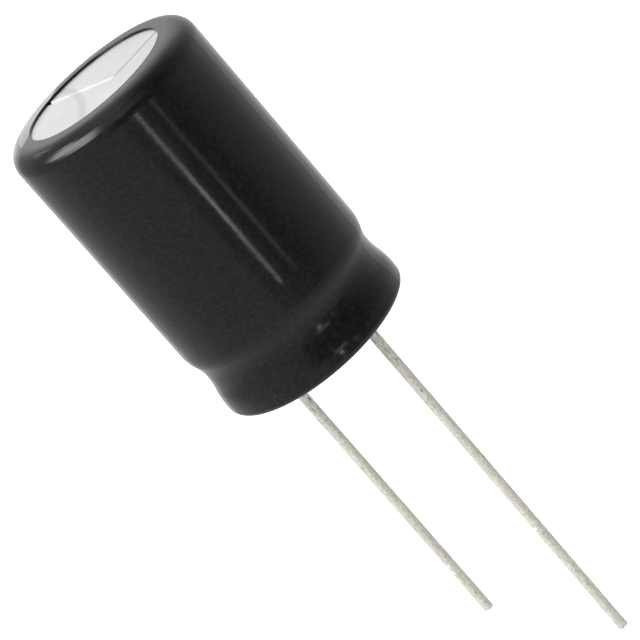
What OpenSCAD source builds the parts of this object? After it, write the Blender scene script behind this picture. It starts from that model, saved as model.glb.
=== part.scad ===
// Radial aluminium electrolytic capacitor: a drawn can in a shrunk sleeve, closed by a rubber seal that two
// leads pass through, with the wound element, its two tabs and the closing tape inside.
// Millimetres. +Z runs along the can to the vented end, the leads point down, X runs from the cathode lead to
// the anode lead, and the origin is the middle of the seating plane.

/* [Body] */
// Height of the sleeved body above the seating plane
body_h = 25.5; // [24:0.1:40]
// Outer diameter of the bare can
can_d = 16; // [15:0.1:18]
// Wall thickness of the drawn can
can_wall = 0.28; // [0.2:0.01:0.4]
// Thickness of the can's flat end
end_t = 0.4; // [0.3:0.01:0.6]
// Outer radius of the can's shoulder, side to flat end
shoulder_r = 1.36; // [1:0.02:2]

/* [Rolled end] */
// Height of the middle of the rolled groove
groove_z = 3.6; // [3.2:0.1:4.2]
// Depth of the groove in the can's side
groove_depth = 0.95; // [0.5:0.05:1.1]
// Height where the groove starts on the side above
groove_top_z = 6; // [5.6:0.1:6.4]
// Height where the groove ends on the rim below
groove_foot_z = 0.8; // [0.7:0.1:1.6]
// How far the rim stands back from the side
rim_step = 0.13; // [0:0.01:0.3]
// Outer radius of the rim's inward curl
curl_r = 0.38; // [0.36:0.02:0.5]

/* [Sleeve] */
// Thickness of the sleeve on the side
sleeve_t = 0.13; // [0.08:0.01:0.25]
// Thickness of the sleeve's inner edge on the flat end
lip_t = 0.15; // [0.14:0.01:0.3]
// How far the sleeve reaches in over the flat end, from the can's side
lip_reach = 2.23; // [1.7:0.01:3]
// How far the sleeve reaches in under the rolled rim, from the can's side
foot_reach = 1.55; // [1.2:0.05:2]
// Depth of the sleeve's dip over the groove
dip_depth = 0.46; // [0.1:0.01:0.6]
// Room between the sleeve and the can
shrink_gap = 0.01; // [0.005:0.005:0.03]

/* [Vent] */
// Width of the scored grooves
score_w = 0.46; // [0.2:0.02:0.6]
// Depth of the scored grooves
score_depth = 0.14; // [0.05:0.01:0.2]
// X of the point where the grooves meet
score_x = 2; // [0:0.1:3]
// Y of the point where the grooves meet
score_y = -1.1; // [-3:0.1:0]
// Direction of the long groove
long_score_angle = 151; // [120:1:180]
// Length of the long groove
long_score_l = 8.4; // [6:0.1:8.6]
// Direction of the short groove
short_score_angle = 49; // [20:1:80]
// Length of the short groove
short_score_l = 5; // [3:0.1:5.2]

/* [Seal] */
// Height of the seal's inner face
seal_top_z = 6.4; // [6:0.1:7]
// Room between the seal and the can
seal_gap = 0.01; // [0.005:0.005:0.03]
// Diameter of the holes for the bare leads
lead_hole_d = 1.1; // [0.9:0.05:1.5]

/* [Leads] */
// Distance between the leads
lead_pitch = 7.5; // [7:0.1:8]
// Diameter of the leads
lead_d = 0.8; // [0.6:0.05:1]
// Length of the cathode lead below the seating plane
cathode_lead_l = 26; // [5:0.5:40]
// Length of the anode lead below the seating plane
anode_lead_l = 33; // [8:0.5:50]
// Height of the weld between lead and tab
weld_z = 1.9; // [1.6:0.1:2.4]
// Diameter of a lead at its weld
weld_d = 1; // [0.9:0.02:1.04]

/* [Tabs] */
// Diameter of a tab's round shank
shank_d = 2; // [1.6:0.1:2.4]
// Thickness of a tab's flattened blade
blade_t = 0.25; // [0.15:0.01:0.3]
// Width of the blade
blade_w = 2.4; // [1.8:0.1:2.6]
// How far the blade reaches up the element
blade_reach = 13.4; // [8:0.2:15]

/* [Wound element] */
// Thickness of the anode foil
anode_t = 0.1; // [0.08:0.01:0.12]
// Thickness of the cathode foil
cathode_t = 0.05; // [0.03:0.01:0.08]
// Thickness of each paper separator
paper_t = 0.05; // [0.03:0.01:0.08]
// Thickness of the closing tape
tape_t = 0.05; // [0.03:0.01:0.08]
// Room between neighbouring turns
turn_gap = 0.01; // [0.01:0.005:0.02]
// Room on each side of a tab's blade
blade_gap = 0.02; // [0.02:0.005:0.03]
// Smallest radius of the hole left by the winding pin
pin_r = 1.2; // [1:0.1:1.6]
// Height of the papers' lower edge
element_z = 7.8; // [7.6:0.1:8.4]
// Room between the papers' upper edge and the can's end
head_room = 1.6; // [1:0.1:3]
// How far the papers stand out past the foils
paper_margin = 0.5; // [0.3:0.1:1]
// Least room between the element and the can
element_gap = 0.25; // [0.2:0.05:0.6]

/* [Hidden] */
$fn = 96;
over = 1;
can_r = can_d / 2;
can_top = body_h - lip_t;
bore_r = can_r - can_wall;
rim_r = can_r - rim_step;
curl_z = sleeve_t + shrink_gap + curl_r;
curl_x = rim_r - curl_r;
bare_r = can_r - lip_reach;
foot_r = can_r - foot_reach;
lip_round = 0.1;
foot_round = 0.05;
arc_steps = 14;
half_pitch = lead_pitch / 2;
seal_z = curl_z + seal_gap;
// A lead is straight up to just below the seal, and widens towards its weld from there
flare_drop = 0.1;
flare_z = seal_z - flare_drop;
cone_h = 0.6;
shank_proud = 0.3;
blade_drop = 0.2;
blade_overlap = 0.6;
flat_start = seal_top_z + shank_proud;
flat_end = element_z - blade_drop;
slot = blade_t + 2 * blade_gap;

// Layers of one turn, from the inside out: anode foil, paper, cathode foil, paper, and the tape outside
layer_t = [anode_t, paper_t, cathode_t, paper_t, tape_t];
layer_at = [
    0,
    anode_t + turn_gap,
    anode_t + paper_t + 2 * turn_gap,
    anode_t + paper_t + cathode_t + 3 * turn_gap,
    anode_t + 2 * paper_t + cathode_t + 4 * turn_gap
];
turn = layer_at[4];
// Half turns up to each tab, and the start radius that puts the anode tab right over its lead
anode_blade_at = anode_t + blade_gap + blade_t / 2;
cathode_blade_at = layer_at[2] + cathode_t + blade_gap + blade_t / 2;
anode_k = 2 * floor((half_pitch - pin_r - anode_blade_at) / turn);
start_r = half_pitch - anode_blade_at - anode_k * turn / 2;
cathode_k = 2 * round((half_pitch - start_r - cathode_blade_at) / turn - 0.5) + 1;
half_turns = 2 * floor((bore_r - element_gap - start_r - turn - slot - tape_t) / turn);
paper_top = can_top - end_t - head_room;

// Radius of a layer where it crosses the X axis for the k-th time; even crossings are over the anode lead
function bump(layer, k) =
    k % 2 == 0
        ? (k > anode_k || (k == anode_k && layer > 0) ? slot : 0)
        : (k > cathode_k || (k == cathode_k && layer > 2) ? slot : 0);
function crossing(layer, k) = start_r + k * turn / 2 + layer_at[layer] + bump(layer, k);

// Points of a round corner and of an S-bend between two heights of a side
function corner(x, z, r, from, to) =
    [for (i = [0:arc_steps]) let (a = from + (to - from) * i / arc_steps) [x + r * cos(a), z + r * sin(a)]];
function bend_r(dz, dr) = (dz * dz + dr * dr) / (4 * dr);
function bend_a(dz, dr) = asin(abs(dz) / 2 / bend_r(dz, dr));
// From a crest at (r, z) down to a valley dr further in, dz away in height (down when negative)
function bend(r, z, dz, dr) =
    let (q = bend_r(dz, dr), a = bend_a(dz, dr), s = sign(dz)) concat(
        [for (i = [0:arc_steps]) let (b = a * i / arc_steps) [r - q + q * cos(b), z + s * q * sin(b)]],
        [for (i = [arc_steps - 1:-1:0]) let (b = a * i / arc_steps) [r - dr + q - q * cos(b), z + dz - s * q * sin(b)]]
    );
function backwards(list) = [for (i = [len(list) - 1:-1:0]) list[i]];

// Side of the can at the rolled end, from above the groove to the rim, moved out by d
function groove_side(d, depth) = concat(
    bend(can_r + d, groove_top_z, groove_z - groove_top_z, depth),
    backwards(bend(rim_r + d, groove_foot_z, groove_z - groove_foot_z, depth - rim_step))
);

module turned(points) {
    rotate_extrude()
        polygon(points);
}

module sleeve() {
    gap = shrink_gap;
    outer_rim_r = rim_r + gap + sleeve_t;
    edge = curl_r + gap + sleeve_t;
    color("#2a2a2b")
    turned(concat(
        corner(bare_r + lip_round, body_h - lip_round, lip_round, 180, 90),
        corner(can_r - shoulder_r, can_top - shoulder_r, shoulder_r + gap + sleeve_t, 90, 0),
        groove_side(gap + sleeve_t, dip_depth),
        corner(outer_rim_r - edge, edge, edge, 0, -90),
        corner(foot_r + foot_round, foot_round, foot_round, -90, -180),
        [[foot_r, sleeve_t]],
        corner(curl_x, curl_z, curl_r + gap, -90, 0),
        backwards(groove_side(gap, dip_depth)),
        corner(can_r - shoulder_r, can_top - shoulder_r, shoulder_r + gap, 0, 90),
        [[bare_r, can_top + gap]]
    ));
}

module score(angle, length) {
    translate([score_x, score_y, can_top])
        rotate([90, 0, angle + 90])
            linear_extrude(length)
                polygon([[-score_w / 2, 0], [-score_w / 2, over], [score_w / 2, over], [score_w / 2, 0], [0, -score_depth]]);
}

module can() {
    inner_r = shoulder_r - can_wall;
    color("#dcdcdc")
    difference() {
        turned(concat(
            [[0, can_top]],
            corner(can_r - shoulder_r, can_top - shoulder_r, shoulder_r, 90, 0),
            groove_side(0, groove_depth),
            corner(curl_x, curl_z, curl_r, 0, -180),
            corner(curl_x, curl_z, curl_r - can_wall, -180, 0),
            backwards(groove_side(-can_wall, groove_depth)),
            corner(bore_r - inner_r, can_top - end_t - inner_r, inner_r, 0, 90),
            [[0, can_top - end_t]]
        ));
        score(long_score_angle, long_score_l);
        score(short_score_angle, short_score_l);
    }
}

module seal_hole(side) {
    translate([side * half_pitch, 0, 0]) {
        translate([0, 0, seal_z - over])
            cylinder(h = weld_z - seal_z + over, d = lead_hole_d);
        translate([0, 0, weld_z])
            cylinder(h = cone_h, d1 = lead_hole_d, d2 = shank_d + 2 * seal_gap);
        translate([0, 0, weld_z + cone_h])
            cylinder(h = seal_top_z - weld_z - cone_h + over, d = shank_d + 2 * seal_gap);
    }
}

module rubber_seal() {
    side = -can_wall - seal_gap;
    color("#1d1d1e")
    difference() {
        turned(concat(
            [[0, seal_top_z], [can_r + side, seal_top_z]],
            groove_side(side, groove_depth),
            [[rim_r + side, seal_z], [0, seal_z]]
        ));
        seal_hole(-1);
        seal_hole(1);
    }
}

// One layer of the element, as half rings that share their end faces where they cross the X axis
module wound(layer, z, h, from, to) {
    for (k = [from:to - 1]) {
        r0 = crossing(layer, k);
        r1 = crossing(layer, k + 1);
        side = k % 2 == 0 ? 1 : -1;
        translate([side * (r0 - r1) / 2, 0, z])
            rotate([0, 0, k % 2 == 0 ? 0 : 180])
                rotate_extrude(angle = 180)
                    translate([(r0 + r1) / 2, 0])
                        square([layer_t[layer], h]);
    }
}

module anode_foil() {
    color("#9b9a94")
    wound(0, element_z + paper_margin, paper_top - element_z - 2 * paper_margin, 0, half_turns);
}

module inner_separator() {
    color("#d9c9a3")
    wound(1, element_z, paper_top - element_z, 0, half_turns);
}

module cathode_foil() {
    color("#b9bab8")
    wound(2, element_z + paper_margin, paper_top - element_z - 2 * paper_margin, 0, half_turns);
}

module outer_separator() {
    color("#d4c299")
    wound(3, element_z, paper_top - element_z, 0, half_turns);
}

module closing_tape() {
    color("#c9a24b")
    wound(4, element_z + 2 * paper_margin, paper_top - element_z - 4 * paper_margin, half_turns - 2, half_turns);
}

// Tab of one foil: weld cone and round shank in the seal, flattened above it into a blade curved to the foil
module tab(blade_r) {
    half_angle = asin(blade_w / 2 / blade_r);
    translate([half_pitch, 0, weld_z])
        cylinder(h = cone_h, d1 = weld_d, d2 = shank_d);
    translate([half_pitch, 0, weld_z + cone_h])
        cylinder(h = flat_start - weld_z - cone_h, d = shank_d);
    intersection() {
        translate([half_pitch, 0, flat_start])
            cylinder(h = flat_end - flat_start, d = shank_d);
        translate([0, over, 0])
            rotate([90, 0, 0])
                linear_extrude(2 * over)
                    polygon([
                        [half_pitch - shank_d / 2, flat_start],
                        [half_pitch + shank_d / 2, flat_start],
                        [blade_r + blade_t / 2, flat_end],
                        [blade_r - blade_t / 2, flat_end]
                    ]);
    }
    translate([0, 0, flat_end - blade_overlap])
        rotate([0, 0, -half_angle])
            rotate_extrude(angle = 2 * half_angle)
                translate([blade_r - blade_t / 2, 0])
                    square([blade_t, blade_overlap + element_z - flat_end + blade_reach]);
}

module anode_tab() {
    color("#cfcfcb")
    tab(half_pitch);
}

module cathode_tab() {
    color("#cfcfcb")
    rotate([0, 0, 180])
        tab(start_r + cathode_k * turn / 2 + cathode_blade_at);
}

module lead(length) {
    translate([half_pitch, 0, -length])
        cylinder(h = length + flare_z, d = lead_d);
    translate([half_pitch, 0, flare_z])
        cylinder(h = weld_z - flare_z, d1 = lead_d, d2 = weld_d);
}

module anode_lead() {
    color("#c8c8bf")
    lead(anode_lead_l);
}

module cathode_lead() {
    color("#c8c8bf")
    rotate([0, 0, 180])
        lead(cathode_lead_l);
}

sleeve();
can();
rubber_seal();
anode_foil();
inner_separator();
cathode_foil();
outer_separator();
closing_tape();
anode_tab();
cathode_tab();
anode_lead();
cathode_lead();
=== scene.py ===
# %% [markdown]
# # A radial electrolytic capacitor
# The part is a small aluminium can, closed by a rubber bung, inside a black heat-shrunk sleeve. All its pieces
# come exactly sized from the CAD frame, so this lesson is about surfaces and light: glossy black film, bare
# drawn aluminium, tinned wire, rubber, etched foil and soaked paper. We load the frame and note its box.

# %% Load the frame
import math

import bpy
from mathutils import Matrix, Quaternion, Vector


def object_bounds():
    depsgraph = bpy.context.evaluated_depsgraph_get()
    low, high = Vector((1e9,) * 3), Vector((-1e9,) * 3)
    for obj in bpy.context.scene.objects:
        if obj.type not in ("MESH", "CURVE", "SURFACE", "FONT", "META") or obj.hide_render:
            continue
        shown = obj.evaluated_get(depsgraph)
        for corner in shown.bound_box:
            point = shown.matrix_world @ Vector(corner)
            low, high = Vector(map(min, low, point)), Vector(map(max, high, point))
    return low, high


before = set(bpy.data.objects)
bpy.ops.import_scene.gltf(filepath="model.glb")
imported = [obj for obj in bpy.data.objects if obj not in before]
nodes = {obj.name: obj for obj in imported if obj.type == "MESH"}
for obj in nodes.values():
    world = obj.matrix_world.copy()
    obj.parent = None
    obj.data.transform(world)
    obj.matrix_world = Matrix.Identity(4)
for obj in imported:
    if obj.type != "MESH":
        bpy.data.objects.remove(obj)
cad_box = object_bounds()
MM = 0.001
print("nodes:", sorted(nodes))

# %% [markdown]
# ## Shading of the CAD solids
# The solids come as fine triangles. Where two neighbours meet at a small angle the surface is really round, so
# it is shaded smooth there, and every true edge, such as a cut foil or the lip of the sleeve, stays crisp.

# %% Smooth the round surfaces
SMOOTH_BELOW = math.radians(28)
bpy.ops.object.select_all(action="DESELECT")
for node in nodes.values():
    node.select_set(True)
bpy.context.view_layer.objects.active = nodes["sleeve"]
bpy.ops.object.shade_smooth_by_angle(angle=SMOOTH_BELOW)
bpy.ops.object.select_all(action="DESELECT")
print("smoothed", len(nodes), "nodes")

# %% [markdown]
# ## Two helpers
# Colours are easiest to write as the sRGB hex values one reads off a screen, but shaders work in linear light,
# so one function converts them. The other adds a shader node, sets its values and links its inputs in one call.

# %% Colour and node helpers
def linear(hex_colour):
    channels = [int(hex_colour[i:i + 2], 16) / 255 for i in (1, 3, 5)]
    return tuple(c / 12.92 if c <= 0.04045 else ((c + 0.055) / 1.055) ** 2.4 for c in channels) + (1.0,)


def add(tree, kind, settings=None, **inputs):
    """Add a node. An input is named by its label, or as i0, i1 and so on by its place."""
    node = tree.nodes.new(kind)
    for key, value in (settings or {}).items():
        setattr(node, key, value)
    for key, value in inputs.items():
        place = int(key[1:]) if key[0] == "i" and key[1:].isdigit() else key.replace("_", " ")
        socket = node.inputs[place]
        if isinstance(value, bpy.types.NodeSocket):
            tree.links.new(value, socket)
        else:
            socket.default_value = value
    return node


WHITE = linear("#ffffff")
print("#808080 in linear light:", [round(c, 4) for c in linear("#808080")])

# %% [markdown]
# ## Building blocks: numbers and noise
# Draw lines, orange peel, grain and scuffs are all noise of a size that can be measured on the real part. The noise
# node wants a scale, which is one over that size, so one function turns millimetres into scales, and draws the
# cells out where it gets a size for each axis. Another lets a value fade from one level to another, which turns
# soft noise into sparse marks and keeps wear to one end of a piece.

# %% Numbers and noise
def maths(tree, operation, *values):
    inputs = {f"i{place}": value for place, value in enumerate(values)}
    return add(tree, "ShaderNodeMath", {"operation": operation}, **inputs).outputs["Value"]


def measure(tree, operation, *vectors):
    """A number from vectors: a distance, a length or a dot product."""
    inputs = {f"i{place}": vector for place, vector in enumerate(vectors)}
    return add(tree, "ShaderNodeVectorMath", {"operation": operation}, **inputs).outputs["Value"]


def fade(tree, value, start, end, low, high, smooth=False):
    """Go from low to high while the value goes from start to end, and stay level outside."""
    settings = {"interpolation_type": "SMOOTHSTEP" if smooth else "LINEAR"}
    node = add(tree, "ShaderNodeMapRange", settings, i0=value, i1=start, i2=end, i3=low, i4=high)
    return node.outputs["Result"]


def noise(tree, place, size, detail, roughness):
    """Noise with cells of a size in millimetres: one number, or one for each axis."""
    if isinstance(size, tuple):
        scales = tuple(1 / (side * MM) for side in size)
        place = add(tree, "ShaderNodeMapping", Vector=place, Scale=scales).outputs["Vector"]
        scale = 1.0
    else:
        scale = 1 / (size * MM)
    return add(tree, "ShaderNodeTexNoise", Vector=place, Scale=scale, Detail=detail,
               Roughness=roughness).outputs["Fac"]


def metres(point):
    return tuple(c * MM for c in point)


print("noise cells of 0.5 mm need a scale of", round(1 / (0.5 * MM)), "to the metre")

# %% [markdown]
# ## Building blocks: colours and relief
# A real surface is never one flat colour: it changes a little from place to place, and dirt or wear is mixed over
# it. Marks too shallow to model still bend the light, so they are relief in the shading alone. Its depth is
# given in millimetres, and one relief can be laid over another.

# %% Colours and relief
def ramp(tree, factor, stops):
    node = add(tree, "ShaderNodeValToRGB", Fac=factor)
    elements = node.color_ramp.elements
    while len(elements) < len(stops):
        elements.new(0.5)
    for element, (position, colour) in zip(elements, stops):
        element.position = position
        element.color = colour
    return node.outputs["Color"]


def mix(tree, share, under, over, kind="MIX"):
    return add(tree, "ShaderNodeMix", {"data_type": "RGBA", "blend_type": kind}, i0=share, i6=under,
               i7=over).outputs[2]


def relief(tree, height, strength, depth, below=None, sunk=False):
    """Relief of a depth in millimetres, laid over the relief below it."""
    node = add(tree, "ShaderNodeBump", {"invert": sunk}, Strength=strength, Distance=depth * MM, Height=height)
    if below:
        tree.links.new(below, node.inputs["Normal"])
    return node.outputs["Normal"]


print("blocks for colour and relief:", ramp.__name__, mix.__name__, relief.__name__)

# %% [markdown]
# ## Building blocks: a material of its own for each real one
# Each real material gets one shader, named for what it is and how it is made. Patterns are laid on Object
# coordinates, which are metres on the part and don't move with the camera. The pieces keep the meshes that came
# from the CAD frame and are only dressed.

# %% Materials
def emptied(owner):
    owner.use_nodes = True
    owner.node_tree.nodes.clear()
    return owner.node_tree


def new_material(name):
    material = bpy.data.materials.new(name)
    tree = emptied(material)
    surface = add(tree, "ShaderNodeBsdfPrincipled")
    add(tree, "ShaderNodeOutputMaterial", Surface=surface.outputs["BSDF"])
    place = add(tree, "ShaderNodeTexCoord").outputs["Object"]
    return material, tree, place, surface


def add_links(tree, surface, colour, roughness, normal):
    tree.links.new(colour, surface.inputs["Base Color"])
    tree.links.new(roughness, surface.inputs["Roughness"])
    tree.links.new(normal, surface.inputs["Normal"])


def dress(material, *names):
    for name in names:
        node = nodes[name]
        node.data.materials.clear()
        node.data.materials.append(material)
        print(material.name, "->", name)


print("pieces to dress:", len(nodes))

# %% [markdown]
# ## Sleeve: heat-shrunk PET film
# The sleeve is a black polyester tube, shrunk on in hot air. It is glossy but not perfect: the film keeps long
# faint draw lines, a soft waviness and a fine orange peel, and handling scuffs it, most of all on the bulge at the
# rolled end. The base colour is nearly black, so what one sees is mostly reflection, and the roughness and the
# relief matter more than the colour. The film is also drawn in by a few hundredths of a millimetre just above the
# groove, and a little slack on one side of the flat end. That only bends the highlights, so it is relief too.

# %% Sleeve material
FILM_IOR = 1.47
SLACK_SIDE = (-0.987, 0.160, 0)


def sleeve_film():
    material, tree, place, surface = new_material("heat_shrunk_black_polyester_film")
    height = add(tree, "ShaderNodeSeparateXYZ", Vector=place).outputs["Z"]
    # Draw lines are squeezed round the tube and stretched along it
    lines = noise(tree, place, (0.5, 0.5, 12), 2.0, 0.5)
    waves = noise(tree, place, 4, 1.5, 0.45)
    # Orange peel breaks up the bright lines
    peel = noise(tree, place, 0.3, 2.0, 0.6)
    # Scuffs are sparse, and strongest within 3 mm of the seating plane
    scuff = fade(tree, noise(tree, place, 0.9, 6.0, 0.72), 0.60, 0.76, 0.0, 1.0)
    low = fade(tree, height, 0.4 * MM, 3.2 * MM, 1.0, 0.15)
    wear = maths(tree, "MULTIPLY", scuff, low)
    base = ramp(tree, peel, [(0.35, linear("#040404")), (0.65, linear("#141413"))])
    colour = mix(tree, wear, base, linear("#343433"))
    rough = maths(tree, "MULTIPLY_ADD", wear, 0.2, fade(tree, waves, 0.3, 0.7, 0.10, 0.15))
    normal = relief(tree, waves, 0.10, 0.05)
    normal = relief(tree, lines, 0.05, 0.012, normal)
    normal = relief(tree, peel, 0.2, 0.012, normal)
    # Drawn in above the groove
    waist = fade(tree, height, 5.2 * MM, 8.0 * MM, 0.0, 1.0, smooth=True)
    normal = relief(tree, waist, 1.0, 0.06, normal)
    # Slack on one side of the flat end, where the film falls away to the shoulder
    toward = measure(tree, "DOT_PRODUCT", place, SLACK_SIDE)
    normal = relief(tree, fade(tree, toward, 5.3 * MM, 6.9 * MM, 1.0, 0.0), 1.0, 0.1, normal)
    add_links(tree, surface, colour, rough, normal)
    surface.inputs["IOR"].default_value = FILM_IOR
    return material


dress(sleeve_film(), "sleeve")

# %% [markdown]
# ## Can: bare drawn aluminium
# Only the flat end shows, inside the sleeve's lip. It is satin, with a faint grain from the rolled sheet. A grey
# band runs across it in an arc, the punch has left the long score smooth and clean, and the short score is darkened
# in its depth with painted shade. It is a metal, so its colour lives in the reflection, and a slow change of tone
# and roughness keeps the disc from looking printed.

# %% Can material
CAN_TOP = 25.35
GREY_ARC_CENTRE = (-17, -7.3, CAN_TOP)
GREY_ARC_RADIUS = 17.1
# The short score runs to larger X from here and the long one to smaller X
SCORES_PART_X = 1.9


def drawn_aluminium():
    material, tree, place, surface = new_material("bare_drawn_aluminium")
    split = add(tree, "ShaderNodeSeparateXYZ", Vector=place).outputs
    grain = noise(tree, place, (8, 1, 1), 1.0, 0.4)
    cloud = noise(tree, place, 3.5, 1.0, 0.5)
    tone = ramp(tree, cloud, [(0.35, linear("#dbdbda")), (0.65, linear("#e3e3e0"))])
    # A grey band in the tone, darkest on the arc and weaker inside it
    reach = measure(tree, "DISTANCE", place, metres(GREY_ARC_CENTRE))
    off = maths(tree, "SUBTRACT", reach, GREY_ARC_RADIUS * MM)
    arc = fade(tree, maths(tree, "ABSOLUTE", off), 0.1 * MM, 0.55 * MM, 1.0, 0.0, smooth=True)
    inside = fade(tree, off, -0.4 * MM, 0.4 * MM, 0.25, 0.0, smooth=True)
    tone = mix(tree, maths(tree, "MAXIMUM", arc, inside), tone, linear("#cacac9"))
    # Painted shade in the depth of the short score: darker where the score is deeper
    painted_score_shade = fade(tree, split["Z"], (CAN_TOP - 0.1) * MM, (CAN_TOP - 0.02) * MM, 1.0, 0.0)
    short = fade(tree, split["X"], SCORES_PART_X * MM, (SCORES_PART_X + 0.6) * MM, 0.0, 0.8)
    tone = mix(tree, maths(tree, "MULTIPLY", painted_score_shade, short), tone, linear("#8f8f8d"))
    # The long score is smoother than the drawn metal round it
    pressed = fade(tree, split["Z"], (CAN_TOP - 0.02) * MM, (CAN_TOP - 0.005) * MM, 1.0, 0.0)
    smoother = fade(tree, split["X"], SCORES_PART_X * MM, (SCORES_PART_X + 0.3) * MM, -0.16, 0.0)
    rough = maths(tree, "MULTIPLY_ADD", pressed, smoother, fade(tree, grain, 0.3, 0.7, 0.26, 0.34))
    add_links(tree, surface, tone, rough, relief(tree, grain, 0.1, 0.006))
    surface.inputs["Metallic"].default_value = 1.0
    return material


dress(drawn_aluminium(), "can")

# %% [markdown]
# ## Leads: tinned copper-clad steel wire
# The leads are drawn wire with a hot tin coat. Tin dulls to a pale, slightly yellow grey: its oxide skin scatters
# light almost like matt paint, and only where the die has burnished the wire does bare metal show, so the metallic
# value changes from patch to patch. Dies leave long draw marks, the crystals a fine speckle, the forming tool dark
# nicks close to the body, and three small chips further down are painted white as highlights. Those three are
# placed one by one.

# %% Lead material
# Middle and radius of each chip, painted white as a highlight, in millimetres
CHIP_HIGHLIGHTS = [((3.60, -0.38, -22.0), 0.16), ((-3.92, -0.37, -21.75), 0.17), ((-3.86, -0.40, -21.1), 0.10)]


def tinned_wire():
    material, tree, place, surface = new_material("hot_tinned_steel_wire")
    height = add(tree, "ShaderNodeSeparateXYZ", Vector=place).outputs["Z"]
    # All four patterns are drawn out along the wire
    marks = noise(tree, place, (0.12, 0.12, 1.4), 4.0, 0.65)
    patch = noise(tree, place, (1.4, 1.4, 3.2), 2.0, 0.5)
    speck = noise(tree, place, (0.1, 0.1, 0.24), 3.0, 0.75)
    dents = noise(tree, place, (0.14, 0.14, 0.6), 3.0, 0.65)
    # Nicks lie close together where the forming tool has gripped the wire
    grip = fade(tree, height, -8.0 * MM, -1.0 * MM, 0.0, 0.09, smooth=True)
    nick = fade(tree, maths(tree, "ADD", dents, grip), 0.63, 0.71, 0.0, 1.0)
    tone = ramp(tree, marks, [(0.3, linear("#d3d2c9")), (0.7, linear("#f3f2ec"))])
    for amount, texture, dark in ((0.35, patch, "#e2e0cc"), (0.85, speck, "#bdbcb3")):
        tone = mix(tree, amount, tone, ramp(tree, texture, [(0.36, linear(dark)), (0.6, WHITE)]), "MULTIPLY")
    tone = mix(tree, nick, tone, linear("#5d5a52"))
    # Each chip is a white spot, a painted highlight on the wire
    for middle, radius in CHIP_HIGHLIGHTS:
        away = measure(tree, "DISTANCE", place, metres(middle))
        tone = mix(tree, fade(tree, away, 0.6 * radius * MM, radius * MM, 1.0, 0.0), tone, WHITE)
    rough = fade(tree, marks, 0.3, 0.7, 0.5, 0.62)
    burnished = fade(tree, patch, 0.3, 0.7, 0.28, 0.48)
    tree.links.new(burnished, surface.inputs["Metallic"])
    nicked = relief(tree, nick, 0.5, 0.03, sunk=True)
    add_links(tree, surface, tone, rough, relief(tree, marks, 0.2, 0.02, nicked))
    return material


dress(tinned_wire(), "anode_lead", "cathode_lead")

# %% [markdown]
# ## Seal: moulded rubber
# The bung is compression-moulded rubber, matt and very dark, with the fine grit of a spark-eroded mould.

# %% Seal material
RUBBER_IOR = 1.52


def moulded_rubber():
    material, tree, place, surface = new_material("moulded_black_rubber")
    grit = noise(tree, place, 0.15, 3.0, 0.6)
    bloom = noise(tree, place, 2, 3.0, 0.6)
    tone = ramp(tree, bloom, [(0.35, linear("#1b1b1c")), (0.7, linear("#262625"))])
    rough = fade(tree, bloom, 0.3, 0.7, 0.62, 0.78)
    add_links(tree, surface, tone, rough, relief(tree, grit, 0.25, 0.03))
    surface.inputs["IOR"].default_value = RUBBER_IOR
    return material


dress(moulded_rubber(), "rubber_seal")

# %% [markdown]
# ## Inside: etched foil, paper, tape and tabs
# The wound element is out of sight, but it is finished plainly so that it reads right when the can is opened:
# etched foil is dull because acid has made it a sponge, paper is fibrous, and the tabs are rolled wire.

# %% Element materials
def etched_foil(name, dark, light):
    material, tree, place, surface = new_material(name)
    pits = noise(tree, place, 0.1, 4.0, 0.7)
    tone = ramp(tree, pits, [(0.35, linear(dark)), (0.65, linear(light))])
    rough = fade(tree, pits, 0.3, 0.7, 0.5, 0.7)
    add_links(tree, surface, tone, rough, relief(tree, pits, 0.1, 0.01))
    surface.inputs["Metallic"].default_value = 1.0
    return material


def soaked_paper(name, dark, light):
    material, tree, place, surface = new_material(name)
    # Fibres lie along the strip's height
    fibres = noise(tree, place, (0.08, 0.08, 1), 4.0, 0.65)
    tone = ramp(tree, fibres, [(0.3, linear(dark)), (0.7, linear(light))])
    rough = fade(tree, fibres, 0.3, 0.7, 0.6, 0.8)
    add_links(tree, surface, tone, rough, relief(tree, fibres, 0.2, 0.02))
    return material


dress(etched_foil("etched_and_formed_anode_foil", "#8a8981", "#a3a29a"), "anode_foil")
dress(etched_foil("etched_cathode_foil", "#aeafad", "#c4c5c2"), "cathode_foil")
dress(soaked_paper("soaked_kraft_paper", "#c2ad7e", "#dccba0"), "inner_separator", "outer_separator")
dress(soaked_paper("brown_paper_closing_tape", "#a87c33", "#c89a4c"), "closing_tape")
dress(etched_foil("rolled_aluminium_wire", "#c6c6c3", "#dadad7"), "anode_tab", "cathode_tab")

# %% [markdown]
# ## Camera
# A camera was fitted to the outline of the can, the metal disc and the leads. It stands about 24 cm away, looks
# down by about 20 degrees and is rolled by 41 degrees, so the upright part lies across the picture.

# %% Camera
CAMERA_AT = Vector((94.514, -204.527, 81.528)) * MM
AIM_AT = Vector((1.080, 0.499, 1.039)) * MM
ROLL = math.radians(-40.88)
camera_data = bpy.data.cameras.new("camera")
camera_data.sensor_width = 36.0
camera_data.lens = 184.65
camera_data.clip_start = 0.01
camera = bpy.data.objects.new("camera", camera_data)
bpy.context.scene.collection.objects.link(camera)
line = AIM_AT - CAMERA_AT
camera.location = CAMERA_AT
camera.rotation_mode = "QUATERNION"
camera.rotation_quaternion = Quaternion(line.normalized(), -ROLL) @ line.to_track_quat("-Z", "Y")
bpy.context.scene.camera = camera
print("camera", [round(c, 4) for c in camera.location], "looks along", [round(c, 3) for c in line.normalized()])

# %% [markdown]
# ## Light tent
# A black glossy tube shows little but its surroundings, so the light is designed as a picture of them: a world
# whose brightness changes with direction, like a small light tent. It is light behind and above, mid grey to one
# side and dark to the other. A large lamp makes the crescent on the shoulder, small ones are stretched by the
# side into thin bright lines, and a few cards light the long score and the edge of the lip.

# %% Walls and lamps of the tent
# Angles round the part are counted from this direction, which is the camera's
FRONT = math.radians(-65.2)
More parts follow.
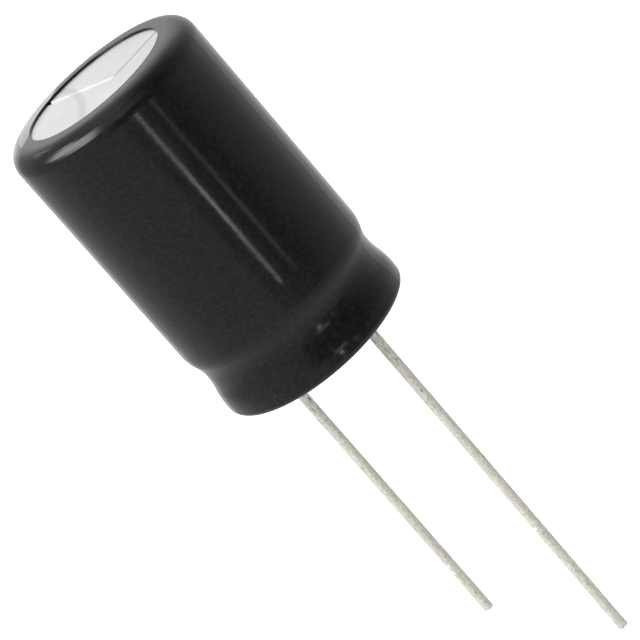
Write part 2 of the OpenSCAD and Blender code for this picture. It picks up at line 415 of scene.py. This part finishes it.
# Bands of wall from the floor up. Each has the heights between which it takes over from the band below, in
# degrees, and its brightness at angles round the part
BANDS = [
    (None, [(-180, 0.70), (-60, 0.62), (0, 0.56), (40, 0.44), (90, 0.48), (180, 0.70)]),
    ((-28, -20), [(-180, 0.78), (-150, 0.66), (-125, 0.62), (-95, 0.57), (-75, 0.52), (-8, 0.50), (-1, 0.31),
                  (20, 0.22), (40, 0.16), (50, 0.16), (64, 0.27), (84, 0.38), (108, 0.49), (132, 0.66),
                  (158, 0.85), (180, 0.85)]),
    ((-15, -7), [(-180, 0.85), (-166, 0.80), (-156, 0.46), (-125, 0.46), (-45, 0.53), (-22, 0.40), (-12, 0.15),
                 (55, 0.12), (88, 0.32), (122, 0.54), (150, 0.72), (172, 0.68), (180, 0.85)]),
    ((12, 36), [(-180, 1.30), (-168, 0.95), (-151, 0.64), (-134, 0.57), (-110, 0.60), (0, 0.78), (20, 0.50),
                (47, 0.13), (75, 0.26), (88, 0.30), (109, 0.60), (134, 0.95), (144, 1.20), (158, 1.40), (170, 1.45),
                (180, 1.30)]),
    ((55, 78), [(-180, 0.90), (0, 0.80), (74, 0.50), (110, 0.55), (135, 0.60), (150, 0.85), (180, 0.90)]),
]
# Lamps and cards: (angle round, height), (half width, half height), strength
LAMPS = [
    # Crescent on the shoulder
    ((-67, 38), (31, 15), 5.8),
    # Bright line down the side, with its softer edge
    ((12, -16.8), (1.7, 1.9), 4.3),
    ((14, -11.5), (8, 1.2), 1.8),
    # Fainter line beside it
    ((32.6, -16.8), (1.8, 2.2), 0.85),
    # Long score
    ((-147, 38.5), (7, 6), 0.8),
    # Edge of the lip
    ((-174, 0), (6, 6), 0.33),
    ((-178, 7), (3, 3), 1.15),
]
print(len(BANDS), "bands of wall and", len(LAMPS), "lamps")

# %% [markdown]
# ## World
# The world turns that plan into light. It splits each direction into an angle round the part and a height, looks up
# the band of wall there, blends it into the next one and adds the lamps. The camera itself sees plain white. The
# pattern stays fixed to the room, so other views show other parts of it in the film.

# %% World
def window(tree, value, middle, half, soft):
    away = maths(tree, "ABSOLUTE", maths(tree, "SUBTRACT", value, middle))
    return fade(tree, away, half - soft, half + soft, 1.0, 0.0, smooth=True)


def lamp(tree, round_about, upwards, middle, half, strength, below):
    """Add a patch of light to the brightness below it. Middle and half size are (angle round, height)."""
    across = window(tree, round_about, middle[0], half[0], 0.4 * half[0])
    along = window(tree, upwards, middle[1], half[1], 0.3 * half[1])
    return maths(tree, "MULTIPLY_ADD", maths(tree, "MULTIPLY", across, along), strength, below)


def light_tent():
    world = bpy.data.worlds.new("light_tent")
    bpy.context.scene.world = world
    tree = emptied(world)
    direction = add(tree, "ShaderNodeTexCoord").outputs["Generated"]
    ahead = measure(tree, "DOT_PRODUCT", direction, (math.cos(FRONT), math.sin(FRONT), 0))
    aside = measure(tree, "DOT_PRODUCT", direction, (-math.sin(FRONT), math.cos(FRONT), 0))
    rise = add(tree, "ShaderNodeSeparateXYZ", Vector=direction).outputs["Z"]
    round_about = maths(tree, "DEGREES", maths(tree, "ARCTAN2", aside, ahead))
    upwards = maths(tree, "DEGREES", maths(tree, "ARCSINE", rise))
    share = fade(tree, round_about, -180.0, 180.0, 0.0, 1.0)
    level = None
    for heights, walls in BANDS:
        band = ramp(tree, share, [((angle + 180) / 360, (v, v, v, 1)) for angle, v in walls])
        if level is None:
            level = band
        else:
            level = mix(tree, fade(tree, upwards, *heights, 0.0, 1.0, smooth=True), level, band)
    for middle, half, strength in LAMPS:
        level = lamp(tree, round_about, upwards, middle, half, strength, level)
    tent = add(tree, "ShaderNodeBackground", Color=WHITE, Strength=level).outputs["Background"]
    plain = add(tree, "ShaderNodeBackground", Color=WHITE, Strength=1.0).outputs["Background"]
    seen = add(tree, "ShaderNodeLightPath").outputs["Is Camera Ray"]
    pick = add(tree, "ShaderNodeMixShader", i0=seen, i1=tent, i2=plain)
    add(tree, "ShaderNodeOutputWorld", Surface=pick.outputs["Shader"])
    return world


print("world", light_tent().name)

# %% [markdown]
# ## Floor
# The longer lead just touches a pale floor. The floor is lifted to white by a little light of its own, and its
# weak diffuse part still takes the part's soft shadow. In reflections it is a grey card close to the part and
# open beyond that, so that the black film mirrors the tent.

# %% Floor
FLOOR_GAP = 0.05 * MM
# The card that reflections see fades out between these distances from the middle of the part
CARD_EDGE = (50 * MM, 75 * MM)


def pale_floor():
    height = cad_box[0][2] - FLOOR_GAP
    bpy.ops.mesh.primitive_circle_add(vertices=96, radius=3.0, fill_type="NGON", location=(0, 0, height))
    floor = bpy.context.object
    floor.name = "floor"
    bpy.ops.object.transform_apply(location=True)
    material = bpy.data.materials.new("pale_card")
    tree = emptied(material)
    place = add(tree, "ShaderNodeTexCoord").outputs["Object"]
    far = fade(tree, measure(tree, "LENGTH", place), *CARD_EDGE, 0.0, 1.0, smooth=True)
    card = add(tree, "ShaderNodeBsdfDiffuse", Color=(0.7, 0.7, 0.69, 1.0)).outputs["BSDF"]
    glow = add(tree, "ShaderNodeEmission", Color=WHITE, Strength=0.70).outputs["Emission"]
    lit = add(tree, "ShaderNodeAddShader", i0=card, i1=glow).outputs["Shader"]
    near = add(tree, "ShaderNodeEmission", Color=WHITE, Strength=0.65).outputs["Emission"]
    beyond = add(tree, "ShaderNodeBsdfTransparent").outputs["BSDF"]
    mirrored = add(tree, "ShaderNodeMixShader", i0=far, i1=near, i2=beyond).outputs["Shader"]
    in_mirror = add(tree, "ShaderNodeLightPath").outputs["Is Glossy Ray"]
    pick = add(tree, "ShaderNodeMixShader", i0=in_mirror, i1=lit, i2=mirrored)
    add(tree, "ShaderNodeOutputMaterial", Surface=pick.outputs["Shader"])
    floor.data.materials.append(material)
    return floor


print("floor at z =", round(pale_floor().data.vertices[0].co.z, 5))

# %% [markdown]
# ## Picture settings and the box
# Colours are viewed with the Standard transform, so a hex value renders about as written. The box of the CAD
# frame is printed.

# %% Finish
bpy.context.scene.view_settings.view_transform = "Standard"
print("cad box", [list(c) for c in cad_box])
